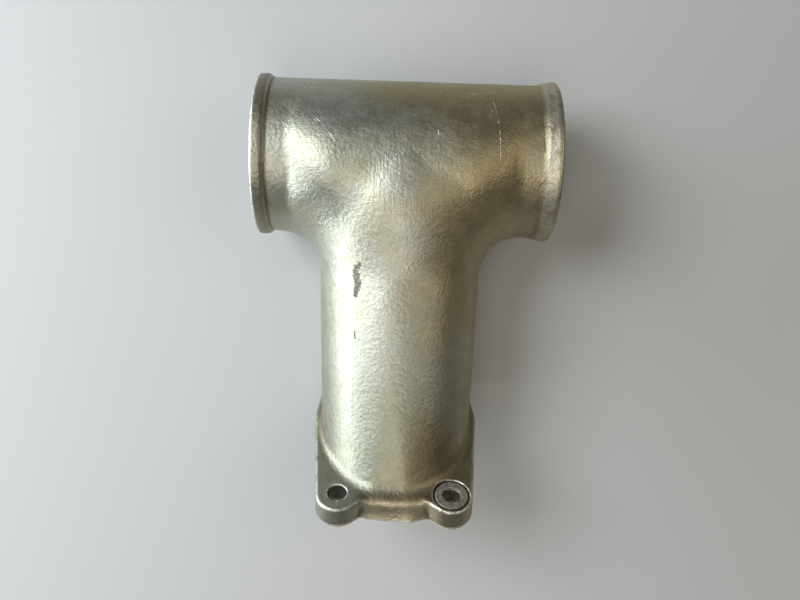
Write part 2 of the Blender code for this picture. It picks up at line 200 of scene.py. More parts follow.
# Places on the casting, in metres, where a part of its finish begins and where it is full.
FLANGE_PAINTED_SHADE = (0.005, -0.060)          # Y: painted shade, the film's colour darkened toward the flange
WEB_PAINTED_SHADOW = (-0.0755, -0.0790)          # Y: the toe web's painted brown shadow
WEB_TAN_START = (-0.0790, -0.0825)     # Y: the toe web's tan front, painted lighter as its lit face
WEB_SIDE = (0.018, 0.013)              # X, both sides
# Brown low on the branch's right side: its centre and reach.
LOW_RIGHT_CENTRE = (0.0145, -0.063, 0.059)
LOW_RIGHT_REACH = (0.027, 0.012)           # from that centre
DRESSED_SIDE = (0.024, 0.010)          # X, both sides, of the striations over the middle of the run
DRESSED_FRONT = (0.006, 0.020)         # Y
DRESSED_BACK = (0.064, 0.048)          # Y
DRESSED_HEIGHT = (0.045, 0.055)        # Z

# Noises of the finish: how many features in a metre, and octaves of detail.
FILM_CLOUDS = (26, 4)
GOLD_CLOUDS = (14, 3)
SPECKS = (900, 3)
LOW_RIGHT_EDGE = (300, 4)
WORN_PATCHES = (420, 3)
RAGGED_MARK = (1100, 4)
BROKEN_MARK = (650, 2)
BLOTCHES = (1300, 3)
DULL_PATCHES = (160, 4)
HAMMERED = (620, 3)
GRAIN = (1500, 2)
STRIATIONS = (1.0, 3)                  # over coordinates scaled by STRIATION_SCALE
STRIATION_SCALE = (1300, 45, 45)
FIBRES = (900, 4)
FIBRE_SCALE = (1.0, 3.0, 3.0)
RUST_PATCHES = (800, 4)
PITS = (900, 4)
FLOOR_CLOUDS = (3, 2)
FLOOR_GRAIN = (900, 2)

FILM_SILVER = (0.465, 0.465, 0.405)
FILM_OLIVE = (0.40, 0.40, 0.305)
# Gold of the film: its own tone in clouds and, to the right, a painted warm reflection.
FILM_GOLD_AND_WARM_REFLECTION = (0.39, 0.315, 0.17)
FILM_SPECK = (0.16, 0.15, 0.09)
# Painted shade: the darker film colour that the casting is given toward the flange.
FILM_PAINTED_SHADE = (0.20, 0.20, 0.15)
BORE_FILM = (0.20, 0.18, 0.12)
# Brown low on the branch's right side.
LOW_RIGHT_BROWN = (0.22, 0.15, 0.10)
# Painted shadow: the brown band over the toe web.
WEB_SHADOW_BROWN = (0.14, 0.095, 0.05)
# The toe web's tan, painted lighter as its lit face.
WEB_TAN_PAINTED_LIT = (0.63, 0.55, 0.39)
# Painted shade and dirt in concave corners and on the beads' dark bands.
CORNER_SHADE_AND_DIRT = (0.19, 0.14, 0.075)
# Painted shade deep in the drilled holes.
HOLE_SHADE = (0.10, 0.09, 0.07)
WORN_METAL = (0.80, 0.79, 0.74)
MACHINED_METAL = (0.66, 0.65, 0.61)
SCRATCHED_METAL = (0.90, 0.89, 0.85)
CHIP_DARK = (0.085, 0.08, 0.085)
PAPER_DARK = (0.34, 0.27, 0.17)
PAPER_PALE = (0.62, 0.54, 0.40)
STEEL_GREY = (0.43, 0.42, 0.38)
STEEL_RUST = (0.19, 0.155, 0.11)
FLOOR_DARK = (0.47, 0.47, 0.465)
FLOOR_PALE = (0.50, 0.50, 0.495)

# ---------------------------------------------------------------------------------- light and camera

# Each lamp's name, place in metres, width, height, power in watts and colour.
LAMPS = (
    ("window", (-0.62, 0.01, 0.17), 0.82, 0.24, 5.4, (0.86, 0.94, 1.0)),
    ("left_fill", (-0.62, 0.24, 0.78), 0.55, 0.50, 7.4, (0.90, 0.96, 1.0)),
    ("front_fill", (-0.08, -0.42, 1.00), 0.50, 0.50, 2.6, (1.0, 0.94, 0.84)),
    ("right_fill", (0.62, 0.12, 0.85), 0.60, 0.60, 1.6, (1.0, 0.90, 0.72)),
)
LAMP_TARGET = (0, -0.02, 0.03)
SKY_COLOUR = (0.95, 0.97, 1.0)
SKY_STRENGTH = 0.075

CAMERA_ROLL = math.radians(-1.648)
CAMERA_LEAN = math.radians(0.871)
CAMERA_PLACE = (-4.70, -59.94, 342.67)      # from where the centre lines meet, in millimetres
CAMERA_LENS = 36.33
CAMERA_SENSOR = 36.0

# ---------------------------------------------------------------------------------- place in the frame

# The run's and the branch's centre lines meet here, in millimetres of the frame.
casting_low, casting_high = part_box("tee_casting")
PLACE = np.array([
    casting_low[0] / MM + LEFT_ARM,
    casting_high[1] / MM - BEAD_RADIUS,
    casting_low[2] / MM + BEAD_RADIUS,
])


# --------------------------------------------------------------------------------- field building blocks

def smooth_max(a, b, reach):
    mix = np.maximum(reach - np.abs(a - b), 0.0)
    return np.maximum(a, b) + mix * mix / (4 * reach)


def smooth_min(a, b, reach):
    return -smooth_max(-a, -b, reach)


def smoothstep(low, high, value):
    share = np.clip((value - low) / (high - low), 0.0, 1.0)
    return share * share * (3 - 2 * share)


def lattice_noise(points, size, seed, cells=32):
    """Smooth noise from -1 to 1 with features of the given size, the same on every run."""
    table = np.random.default_rng(seed).uniform(-1, 1, (cells, cells, cells)).astype(np.float32)
    scaled = points / size
    cell = np.floor(scaled).astype(np.int64)
    part = scaled - cell
    part = part * part * (3 - 2 * part)
    total = 0.0
    for corner in range(8):
        step = np.array([corner & 1, corner >> 1 & 1, corner >> 2])
        weight = np.prod(np.where(step, part, 1 - part), axis=-1)
        index = (cell + step) % cells
        total = total + weight * table[index[..., 0], index[..., 1], index[..., 2]]
    return total


def fractal_noise(points, size, seed, octaves=3):
    return sum(lattice_noise(points, size / 2 ** i, seed + i) / 2 ** i for i in range(octaves))


# ------------------------------------------------------------------------------------- run and branch

def branch_half_sizes(y, inner):
    """Half width and half depth of the branch, or of its bore."""
    reach = np.maximum(-y, 0.0)
    wall = 0.0
    if inner:
        along = np.clip((y - BRANCH_WALL_START) / (JOINT_CENTRE[1] - BRANCH_WALL_START), 0.0, 1.0)
        wall = RUN_WALL + (PORT_WALL - RUN_WALL) * along
    width = BRANCH_ROOT_WIDTH - BRANCH_WIDTH_TAPER * reach - wall
    depth = BRANCH_ROOT_DEPTH - BRANCH_DEPTH_TAPER * reach - wall
    return width, depth


def crown_rise(p):
    """How far the crown lifts the body's upper side."""
    inward = np.clip(CROWN_FOOT - np.abs(p[:, 0]), 0.0, CROWN_SHOULDER)
    foot = np.minimum(inward, CROWN_FOOT_ROUND)
    beyond = inward - foot
    flattening = beyond - beyond ** 2 / (2 * (CROWN_SHOULDER - CROWN_FOOT_ROUND))
    shoulder = CROWN_SLOPE * (foot ** 2 / (2 * CROWN_FOOT_ROUND) + flattening)
    lengthwise = smoothstep(CROWN_BACK, CROWN_FULL, p[:, 1]) * smoothstep(CROWN_FRONT, CROWN_FULL, p[:, 1])
    return shoulder * lengthwise * smoothstep(0.0, CROWN_SIDE, p[:, 2])


def tee_distance(p, inner):
    """The run and the branch melted together by a fillet that is full where their walls meet square on."""
    x, y, z = p[:, 0], p[:, 1], p[:, 2]
    from_axis = np.hypot(y, z) + TINY
    run = from_axis - (RUN_RADIUS - (RUN_WALL if inner else 0.0))
    width, depth = branch_half_sizes(y, inner)
    beyond = np.maximum(y, 0.0)
    scaled = np.sqrt((x / width) ** 2 + (z / depth) ** 2 + (beyond / depth) ** 2) + TINY
    slope_x, slope_y, slope_z = x / width ** 2, beyond / depth ** 2, z / depth ** 2
    slope = np.sqrt(slope_x ** 2 + slope_y ** 2 + slope_z ** 2) / scaled + TINY
    branch = (scaled - 1.0) / slope
    facing = (y * slope_y + z * slope_z) / (from_axis * slope * scaled)
    reach = BLEND * (1.0 - np.clip(facing, -1.0, 1.0)) + TINY
    return smooth_min(run, branch, reach) - crown_rise(p)


def add_beads(distance, p):
    """The raised hose beads, and the ends of the run cut square."""
    from_axis = np.hypot(p[:, 1], p[:, 2])
    for side, arm, length, softness, end_roundness, lean in HOSE_ENDS:
        along = np.abs(side * p[:, 0] - (arm - length / 2)) - (length / 2 - BEAD_EDGE)
        inward = np.maximum(arm - 2 * BEAD_EDGE - side * p[:, 0], 0.0)
        above = from_axis - (BEAD_RADIUS - BEAD_EDGE) + lean * inward
        corner = np.hypot(np.maximum(along, 0.0), np.maximum(above, 0.0))
        band = corner + np.minimum(np.maximum(along, above), 0.0) - BEAD_EDGE
        distance = smooth_min(distance, band, softness)
        distance = smooth_max(distance, side * p[:, 0] - arm, end_roundness)
    return distance


# --------------------------------------------------------------------------------------------- flange

def flange_discs():
    """Discs that the flange's edge runs round, counterclockwise: u, v, radius, hollow if negative."""
    bulge_u, bulge_v, bulge_radius = SIDE_BULGE
    hollow_u, hollow_v, hollow_radius = TOE_HOLLOW
    return [
        (HALF_SPACING, 0.0, EAR_RADIUS),
        (hollow_u, hollow_v, hollow_radius),
        TOE_WEB,
        (-hollow_u, hollow_v, hollow_radius),
        (-HALF_SPACING, 0.0, EAR_RADIUS),
        (-bulge_u, bulge_v, bulge_radius),
        (-HALF_SPACING, HEEL_ROW, EAR_RADIUS),
        (HALF_SPACING, HEEL_ROW, EAR_RADIUS),
        (bulge_u, bulge_v, bulge_radius),
    ]


def tangent_normal(first, second):
    """Outward normal of the straight edge that runs from one disc to the next."""
    step = np.subtract(second[:2], first[:2])
    distance = np.hypot(*step)
    along = step / distance
    right = np.array([along[1], -along[0]])
    lean = (first[2] - second[2]) / distance
    return along * lean + right * math.sqrt(1 - lean ** 2)


def flange_outline(grow, arc_points=16):
    """Closed outline round the discs, moved outward by grow."""
    discs = [(u, v, radius + grow) for u, v, radius in flange_discs()]
    outline = []
    for i, disc in enumerate(discs):
        before = tangent_normal(discs[i - 1], disc)
        after = tangent_normal(disc, discs[(i + 1) % len(discs)])
        start = math.atan2(before[1], before[0])
        turn = math.atan2(after[1], after[0]) - start
        turn = (turn + math.pi) % (2 * math.pi) - math.pi
        for j in range(arc_points):
            angle = start + turn * j / (arc_points - 1)
            outline.append((disc[0] + disc[2] * math.cos(angle), disc[1] + disc[2] * math.sin(angle)))
    return np.array(outline)


class OutlineDistance:
    """Signed distance to the flange's outline, read from a fine grid."""
    CELL = 0.3
    LOW = np.array([-48.0, -88.0])
    HIGH = np.array([48.0, 24.0])

    def __init__(self):
        outline = flange_outline(0.0)
        axes = [np.arange(low, high, self.CELL) for low, high in zip(self.LOW, self.HIGH)]
        u, v = np.meshgrid(*axes, indexing="ij")
        nearest = np.full(u.shape, 1e9)
        inside = np.zeros(u.shape, bool)
        for (u0, v0), (u1, v1) in zip(outline, np.roll(outline, -1, axis=0)):
            du, dv = u1 - u0, v1 - v0
            length = max(du * du + dv * dv, 1e-12)
            share = np.clip(((u - u0) * du + (v - v0) * dv) / length, 0, 1)
            nearest = np.minimum(nearest, np.hypot(u - u0 - share * du, v - v0 - share * dv))
            if v0 != v1:
                crosses = (v0 > v) != (v1 > v)
                inside ^= crosses & (u < u0 + (v - v0) * du / dv)
        self.grid = np.where(inside, -nearest, nearest)

    def __call__(self, u, v):
        at = np.clip(np.stack([u, v], -1), self.LOW, self.HIGH - 2 * self.CELL)
        scaled = (at - self.LOW) / self.CELL
        cell = scaled.astype(np.int64)
        part = scaled - cell
        i, j = cell[..., 0], cell[..., 1]
        s, t = part[..., 0], part[..., 1]
        near = self.grid[i, j] * (1 - s) + self.grid[i + 1, j] * s
        far = self.grid[i, j + 1] * (1 - s) + self.grid[i + 1, j + 1] * s
        outside = np.hypot(u - at[..., 0], v - at[..., 1])
        return near * (1 - t) + far * t + outside


outline_distance = OutlineDistance()


def flange_coordinates(p):
    """U along the run, V up the flange from the toe holes, and the height over the joint face."""
    from_joint = p - JOINT_CENTRE
    return p[:, 0], from_joint @ FLANGE_UP, from_joint @ FLANGE_NORMAL


def plate_distance(u, v, height):
    """The flange's plate, with a softer upper edge along the toe web."""
    edge = outline_distance(u, v) - EDGE_DRAFT * np.clip(1 - height / FLANGE_THICKNESS, 0, 1)
    at_web = smoothstep(15.0, 9.0, np.abs(u)) * smoothstep(-8.0, 0.0, v)
    roundness = PLATE_EDGE + (WEB_EDGE - PLATE_EDGE) * at_web
    return smooth_max(edge, height - FLANGE_THICKNESS, roundness)


def cut_holes(distance, u, v, height):
    """The toe's bolt holes, the heel's blind holes and the spot face cut out of the casting."""
    for side in (-1, 1):
        from_toe_hole = np.hypot(u - side * HALF_SPACING, v)
        distance = smooth_max(distance, BOLT_RADIUS - from_toe_hole, MACHINED_EDGE)
        from_heel_hole = np.hypot(u - side * HALF_SPACING, v - HEEL_ROW)
        tapping = np.maximum(from_heel_hole - TAPPED_RADIUS, height - TAPPED_DEPTH)
        distance = smooth_max(distance, -tapping, MACHINED_EDGE)
    floor = FLANGE_THICKNESS - SPOT_FACE_DEPTH
    spot = np.maximum(np.hypot(u - HALF_SPACING, v) - SPOT_FACE_RADIUS, floor - height)
    return smooth_max(distance, -spot, MACHINED_EDGE)


def hole_mask(u, v, height):
    """1 on the walls of the drilled holes, away from their mouths, where they are painted in shade."""
    deep = smoothstep(*HOLE_DEPTH, np.minimum(height, FLANGE_THICKNESS - height))
    mask = np.zeros(len(u))
    for side in (-1, 1):
        for row, radius in ((0.0, BOLT_RADIUS), (HEEL_ROW, TAPPED_RADIUS)):
            outside = np.hypot(u - side * HALF_SPACING, v - row) - radius
            mask = np.maximum(mask, smoothstep(*HOLE_WALL, outside) * deep)
    return mask


# --------------------------------------------------------------------------------- the whole casting

def cast_relief(p):
    """Low swells that a sand mould leaves."""
    coarse, coarse_size, coarse_seed = COARSE_SWELL
    fine, fine_size, fine_seed = FINE_SWELL
    return coarse * fractal_noise(p, coarse_size, coarse_seed) + fine * lattice_noise(p, fine_size, fine_seed)


def field(p, relief=True):
    """Signed distance, near enough, to the casting's surface."""
    u, v, height = flange_coordinates(p)
    outer = add_beads(tee_distance(p, inner=False), p)
    facet = (p - FACET_POINT) @ (FACET_NORMAL / np.linalg.norm(FACET_NORMAL))
    facet = facet - FACET_RUN_OUT * np.maximum(p[:, 1] - FACET_POINT[1], 0.0)
    outer = smooth_max(outer, facet, FACET_EDGE)
    outer = smooth_min(outer, plate_distance(u, v, height), TUBE_FILLET)
    if relief:
        outer = outer - cast_relief(p) * smoothstep(*RELIEF_HEIGHT, height)
    solid = smooth_max(outer, -tee_distance(p, inner=True), BORE_EDGE)
    solid = smooth_max(solid, -height, MACHINED_EDGE)
    return cut_holes(solid, u, v, height)


def smooth_field(p):
    return field(p, relief=False)


def bore_distance(p):
    return tee_distance(p, inner=True)


def in_chunks(function, points, size=400_000):
    """The function's values for a long list of points, a chunk at a time, to spare memory."""
    return np.concatenate([function(points[i:i + size]) for i in range(0, len(points), size)])


def slopes(points, reach=0.15):
    """The field's value and its gradient, which points outward, at each point."""
    centre = in_chunks(field, points)
    ahead, behind = [], []
    for axis in range(3):
        step = np.zeros(3)
        step[axis] = reach
        ahead.append(in_chunks(field, points + step))
        behind.append(in_chunks(field, points - step))
    ahead, behind = np.stack(ahead, -1), np.stack(behind, -1)
    gradient = (ahead - behind) / (2 * reach)
    return centre, gradient


def curvature(points, reach):
    """Positive on outer edges, negative in corners, in 1/mm. The mould's swells don't count."""
    total = -6 * in_chunks(smooth_field, points)
    for axis in range(3):
        step = np.zeros(3)
        step[axis] = reach
        total = total + in_chunks(smooth_field, points + step) + in_chunks(smooth_field, points - step)
    return total / reach ** 2


def sample_near_surface(step, low, high):
    """The field on a grid, worked out only close to the surface."""
    shape = (np.ceil((high - low) / step / SAMPLE_BLOCK).astype(int) + 1) * SAMPLE_BLOCK
    axes = [low[i] + step * np.arange(shape[i]) for i in range(3)]
    centres = [axis.reshape(-1, SAMPLE_BLOCK).mean(1) for axis in axes]
    grid = np.stack(np.meshgrid(*centres, indexing="ij"), -1)
    rough = in_chunks(field, grid.reshape(-1, 3)).reshape(grid.shape[:3])
    values = rough
    for axis in range(3):
        values = np.repeat(values, SAMPLE_BLOCK, axis)
    near = np.abs(values) < SAMPLE_BLOCK * step * 1.6      # well over half a block's diagonal
    index = np.argwhere(near)
    points = low + index * step
    values[near] = in_chunks(field, points)
    limit = 3 * step
    return np.clip(values, -limit, limit).astype(np.float32), limit


def mesh_of_field(step):
    low = np.array([-LEFT_ARM, JOINT_CENTRE[1], -BEAD_RADIUS]) - [MESH_MARGIN, MESH_TOE, MESH_MARGIN]
    high = np.array([RIGHT_ARM, BEAD_RADIUS, TOE_CENTRE[2]]) + [MESH_MARGIN, MESH_MARGIN, MESH_TOP]
    values, limit = sample_near_surface(step, low, high)
    grid = openvdb.FloatGrid(float(limit))
    grid.copyFromArray(values)
    grid.transform = openvdb.createLinearTransform(step)
    points, quads = grid.convertToQuads()
    return points + low, quads


def new_mesh(name, points, faces):
    """A mesh of faces that all have the same number of corners."""
    data = bpy.data.meshes.new(name)
    data.from_pydata([], [], [])
    data.vertices.add(len(points))
    data.vertices.foreach_set("co", np.asarray(points, np.float32).ravel())
    faces = np.asarray(faces, np.int32)
    corners = faces.shape[1]
    data.loops.add(faces.size)
    data.loops.foreach_set("vertex_index", faces.ravel())
    data.polygons.add(len(faces))
    data.polygons.foreach_set("loop_start", np.arange(len(faces), dtype=np.int32) * corners)
    data.update(calc_edges=True)
    data.validate()
    return data


def add_piece(name, data, material):
    piece = bpy.data.objects.new(name, data)
    bpy.context.scene.collection.objects.link(piece)
    data.materials.append(material)
    return piece


def evaluated_copy(piece):
    graph = bpy.context.evaluated_depsgraph_get()
    return bpy.data.meshes.new_from_object(piece.evaluated_get(graph))


def thin_out(points, quads):
    """Collapse the mesh where it is smooth, and keep it fine along edges and fillets."""
    data = new_mesh("casting_raw", points, quads)
    piece = bpy.data.objects.new("casting_raw", data)
    bpy.context.scene.collection.objects.link(piece)
    sharp = smoothstep(*SHARP_BEND, np.abs(curvature(points, 0.6)))
    group = piece.vertex_groups.new(name="collapse")
    levels = np.round((1 - sharp) * THIN_LEVELS).astype(int)
    for level in range(THIN_LEVELS + 1):
        weight = THIN_LEAST + (1 - THIN_LEAST) * level / THIN_LEVELS
        group.add(np.flatnonzero(levels == level).tolist(), weight, 'REPLACE')
    thin = piece.modifiers.new("thin", 'DECIMATE')
    thin.ratio = min(1.0, MESH_TRIANGLES / (2 * len(quads)))
    thin.vertex_group = group.name
    thin.vertex_group_factor = 3.0
    result = evaluated_copy(piece)
    bpy.data.objects.remove(piece)
    return result


def read_points(data):
    flat = np.empty(len(data.vertices) * 3, np.float32)
    data.vertices.foreach_get("co", flat)
    return flat.reshape(-1, 3).astype(float)


def store(data, name, values):
    layer = data.attributes.new(name, 'FLOAT', 'POINT')
    layer.data.foreach_set("value", np.asarray(values, np.float32))


def store_marks(data, points, normals):
    """For each point close to a mark: how far it lies across it and past its ends, and the half width.

    Those vary evenly over a face, so a mark stays sharp on faces much larger than its width.
    """
    mark = np.tile(NO_MARK, (len(points), 1))
    is_dark = np.zeros(len(points))
    nearest = np.full(len(points), MARK_REACH)
    for marks, dark in ((BARE_MARKS, 0.0), (DARK_MARKS, 1.0)):
        for start, end, half_width in marks:
            start, end = np.array(start) - PLACE, np.array(end) - PLACE
            middle, length = (start + end) / 2, np.linalg.norm(end - start)
            along = (end - start) / length
            normal = normals[np.argmin(((points - middle) ** 2).sum(-1))]
            sideways = np.cross(normal, along)
            offset = points - middle
            across = offset @ sideways / np.linalg.norm(sideways)
            past = np.abs(offset @ along) - length / 2
            gap = np.hypot(across, np.maximum(past, 0.0)) - half_width
            take = (gap < nearest) & (np.abs(offset @ normal) < MARK_DEPTH)
            nearest[take] = gap[take]
            mark[take] = np.stack([across, past, np.full(len(points), half_width)], -1)[take]
            is_dark[take] = dark
    layer = data.attributes.new("mark", 'FLOAT_VECTOR', 'POINT')
    layer.data.foreach_set("vector", mark.astype(np.float32).ravel())
    store(data, "mark_dark", is_dark)


def bead_finish(x):
    """How far the hose beads are worn bare, with a painted highlight on the right bead's crown, and how far
    they are painted dark, with dirt and painted shade.
    """
    inside_left, inside_right = x + LEFT_ARM, RIGHT_ARM - x
    # Bright band on the right bead's crown: wear and a painted highlight.
    worn = smoothstep(3.0, 2.0, np.abs(inside_right - RIGHT_BRIGHT_BAND))
    # Dark bands: dirt, and painted shade on the right bead's outer edge.
    left_band = smoothstep(2.0, 1.2, np.abs(inside_left - LEFT_DARK_BAND))
    right_edge = smoothstep(1.6, 0.8, inside_right)
    return BEAD_WEAR_AND_HIGHLIGHT * worn, BEAD_SHADE_AND_DIRT * np.maximum(left_band, right_edge)


def settle(points):
    """The points moved onto the field's surface."""
    for _ in range(SETTLE_STEPS):
        value, gradient = slopes(points)
        length = (gradient ** 2).sum(-1, keepdims=True)
        move = gradient * value[:, None] / np.maximum(length, 0.2)
        reach = np.linalg.norm(move, axis=-1, keepdims=True)
        points = points - move * np.minimum(1.0, SETTLE_MOVE / np.maximum(reach, TINY))
    return points


def store_masks(data, points):
    """Where the casting is worn, dirty, machined, drilled and hollow, for its material."""
    bend = curvature(points, 0.5)
    worn, shade_and_dirt = bead_finish(points[:, 0])
    u, v, height = flange_coordinates(points)
    past_end = np.maximum(points[:, 0] - RIGHT_ARM, -LEFT_ARM - points[:, 0])
    # Bare metal on worn edges, and a painted highlight on the right bead's crown.
    store(data, "edge", np.maximum(smoothstep(*WORN_BEND, bend), worn) * (1 - shade_and_dirt))
    # Painted shade and dirt: concave corners and the beads' dark bands.
    store(data, "corner", np.maximum(smoothstep(*CORNER_SHADE_BEND, -bend), shade_and_dirt))
    store(data, "inside", smoothstep(*BORE_GAP, np.abs(in_chunks(bore_distance, points))))
    store(data, "joint_face", smoothstep(*JOINT_GAP, height))
    # Where the drilled holes get painted shade.
    store(data, "hole", hole_mask(u, v, height))
    store(data, "end_face", smoothstep(*END_GAP, past_end))


def casting_mesh():
    data = thin_out(*mesh_of_field(MESH_STEP))
    points = settle(read_points(data))
    _, gradient = slopes(points)
    normals = gradient / np.linalg.norm(gradient, axis=-1, keepdims=True)
    store_masks(data, points)
    store_marks(data, points, normals)
    data.vertices.foreach_set("co", ((points + PLACE) * MM).astype(np.float32).ravel())
    data.update()
    data.shade_smooth()
    data.normals_split_custom_set_from_vertices(normals)
    return data


# ------------------------------------------------------------------------------------------ materials

class Nodes:
    """A short way to write a material's nodes."""

    def __init__(self, name):
        self.material = bpy.data.materials.new(name)
        self.material.use_nodes = True
        self.tree = self.material.node_tree
        self.shader = self.tree.nodes["Principled BSDF"]

    def add(self, kind, **settings):
        node = self.tree.nodes.new(kind)
        for key, value in settings.items():
            setattr(node, key, value)
        return node

    def plug(self, socket, value):
        """Feed the socket from another node, or set it to a constant."""
        if isinstance(value, bpy.types.NodeSocket):
            self.tree.links.new(value, socket)
        else:
            socket.default_value = value

    def place(self):
        """The point on the surface, in metres."""
        return self.add("ShaderNodeTexCoord").outputs["Object"]

    def stretched(self, scale):
        node = self.add("ShaderNodeMapping")
        self.plug(node.inputs["Vector"], self.place())
        node.inputs["Scale"].default_value = scale
        return node.outputs["Vector"]

    def noise(self, scale, detail=3.0, vector=None, roughness=0.55):
        node = self.add("ShaderNodeTexNoise")
        self.plug(node.inputs["Vector"], vector or self.place())
        node.inputs["Scale"].default_value = scale
        node.inputs["Detail"].default_value = detail
        node.inputs["Roughness"].default_value = roughness
        return node.outputs["Fac"]

    def ramp(self, value, low, high, from_value=0.0, to_value=1.0):
        """Goes smoothly from from_value, where value is low, to to_value, where it is high."""
        node = self.add("ShaderNodeMapRange", interpolation_type='SMOOTHSTEP')
        self.plug(node.inputs["Value"], value)
        node.inputs["From Min"].default_value = low
        node.inputs["From Max"].default_value = high
        node.inputs["To Min"].default_value = from_value
        node.inputs["To Max"].default_value = to_value
        return node.outputs["Result"]

    def math(self, operation, *values):
        node = self.add("ShaderNodeMath", operation=operation)
        for socket, value in zip(node.inputs, values):
            self.plug(socket, value)
        return node.outputs[0]

    def vector(self, operation, *values):
        node = self.add("ShaderNodeVectorMath", operation=operation)
        for socket, value in zip(node.inputs, values):
            self.plug(socket, value)
        return node.outputs["Value" if operation in ('DOT_PRODUCT', 'LENGTH') else "Vector"]

    def colour(self, share, low, high):
        node = self.add("ShaderNodeMix", data_type='RGBA')
        self.plug(node.inputs[0], share)
        for socket, value in ((node.inputs[6], low), (node.inputs[7], high)):
            self.plug(socket, (*value, 1.0) if isinstance(value, tuple) else value)
        return node.outputs[2]

    def times(self, *values):
        product = values[0]
        for value in values[1:]:
            product = self.math('MULTIPLY', product, value)
        return product

    def tint(self, under, over, share, strength):
        """The colour under, covered by the colour over as far as share times strength."""
        return self.colour(self.times(share, strength), under, over)

    def attribute(self, name, output):
        return self.add("ShaderNodeAttribute", attribute_name=name).outputs[output]

    def mask(self, name):
        return self.attribute(name, "Fac")

    def split(self, vector):
        node = self.add("ShaderNodeSeparateXYZ")
        self.plug(node.inputs[0], vector)
        return node.outputs

    def bump(self, height, distance, strength=1.0, under=None):
        node = self.add("ShaderNodeBump")
        self.plug(node.inputs["Height"], height)
        node.inputs["Distance"].default_value = distance
        node.inputs["Strength"].default_value = strength
        if under:
            self.plug(node.inputs["Normal"], under)
        return node.outputs["Normal"]

    def finish(self, colour, roughness, metallic, normal):
        self.plug(self.shader.inputs["Base Color"], colour)
        self.plug(self.shader.inputs["Roughness"], roughness)
        self.plug(self.shader.inputs["Metallic"], metallic)
        self.plug(self.shader.inputs["Normal"], normal)
        return self.material


def mark_masks(n):
    """Bare and dark marks, with ragged and broken outlines."""
    across, past, half_width = n.split(n.attribute("mark", "Vector"))
    past = n.math('MAXIMUM', past, 0.0)
    gap = n.math('SQRT', n.math('ADD', n.times(across, across), n.times(past, past)))
    share = n.math('DIVIDE', gap, n.math('MAXIMUM', half_width, 0.05))
    ragged_share = n.math('ADD', share, n.times(n.noise(*RAGGED_MARK, roughness=0.7), 2.6))
    broken_share = n.math('ADD', share, n.times(n.noise(*BROKEN_MARK), 3.2))
    is_dark = n.mask("mark_dark")
    dark = n.times(n.ramp(ragged_share, 2.30, 1.75), is_dark)
    bare = n.times(n.ramp(broken_share, 2.15, 1.65), n.math('SUBTRACT', 1.0, is_dark))
    return bare, dark


def film_colour(n, x, y):
    """The chemical film: silver grey to olive in clouds, golden in clouds and painted golder to the right as
    a warm reflection, and painted shade toward the flange.
    """
    colour = n.colour(n.ramp(n.noise(*FILM_CLOUDS), 0.34, 0.66), FILM_SILVER, FILM_OLIVE)
    # Gold in clouds is the film's own tone; the ramp along X paints the right side golder, a painted warm
    # reflection.
    gold_and_right_reflection = n.math('ADD', n.noise(*GOLD_CLOUDS), n.times(x, 4.0))
    colour = n.tint(colour, FILM_GOLD_AND_WARM_REFLECTION, n.ramp(gold_and_right_reflection, 0.42, 0.66), 0.85)
    colour = n.tint(colour, FILM_SPECK, n.ramp(n.noise(*SPECKS), 0.42, 0.70), 0.22)
    # Painted shade: the film darkens toward the flange.
    return n.colour(n.ramp(y, *FLANGE_PAINTED_SHADE, 0.0, 0.46), colour, FILM_PAINTED_SHADE)


def low_brown_and_web(n, colour, x, y):
    """Brown low on the branch's right side, and the tan toe web, painted lighter as its lit face, under a
    painted brown shadow.
    """
    # The branch turns brown low on its right side, darker toward a centre.
    distance = n.vector('LENGTH', n.vector('SUBTRACT', n.place(), LOW_RIGHT_CENTRE))
    uneven = n.math('ADD', distance, n.times(n.noise(*LOW_RIGHT_EDGE), 0.020))
    colour = n.tint(colour, LOW_RIGHT_BROWN, n.ramp(uneven, *LOW_RIGHT_REACH), 0.60)
    # Painted shadow over the toe web, then its tan front, painted lighter as its lit face.
    at_web = n.times(n.ramp(y, *WEB_PAINTED_SHADOW), n.ramp(n.math('ABSOLUTE', x), *WEB_SIDE))
    web = n.colour(n.ramp(y, *WEB_TAN_START), WEB_SHADOW_BROWN, WEB_TAN_PAINTED_LIT)
    return n.tint(colour, web, at_web, 0.75)


def worn(n, colour, bare, dark):
    """Painted shade and dirt in the corners, bare metal on the edges, machined faces, the bore, painted shade
    in the holes, and the marks.
    """
    # Painted shade and dirt in the corners.
    colour = n.tint(colour, CORNER_SHADE_AND_DIRT, n.mask("corner"), 0.75)
    # Bare metal on worn edges, with a painted highlight on the right bead's crown.
    edge = n.times(n.mask("edge"), n.ramp(n.noise(*WORN_PATCHES), 0.28, 0.55))
    colour = n.colour(edge, colour, WORN_METAL)
    machined = n.math('MAXIMUM', n.mask("joint_face"), n.mask("end_face"))
    colour = n.colour(machined, colour, MACHINED_METAL)
    colour = n.tint(colour, BORE_FILM, n.mask("inside"), 0.55)
    # Painted shade on the walls of the drilled holes.
    colour = n.tint(colour, HOLE_SHADE, n.mask("hole"), 0.85)
    colour = n.tint(colour, SCRATCHED_METAL, bare, 0.75)
    blotches = n.ramp(n.noise(*BLOTCHES), 0.62, 0.42, 0.45, 0.92)
    return n.tint(colour, CHIP_DARK, dark, blotches)


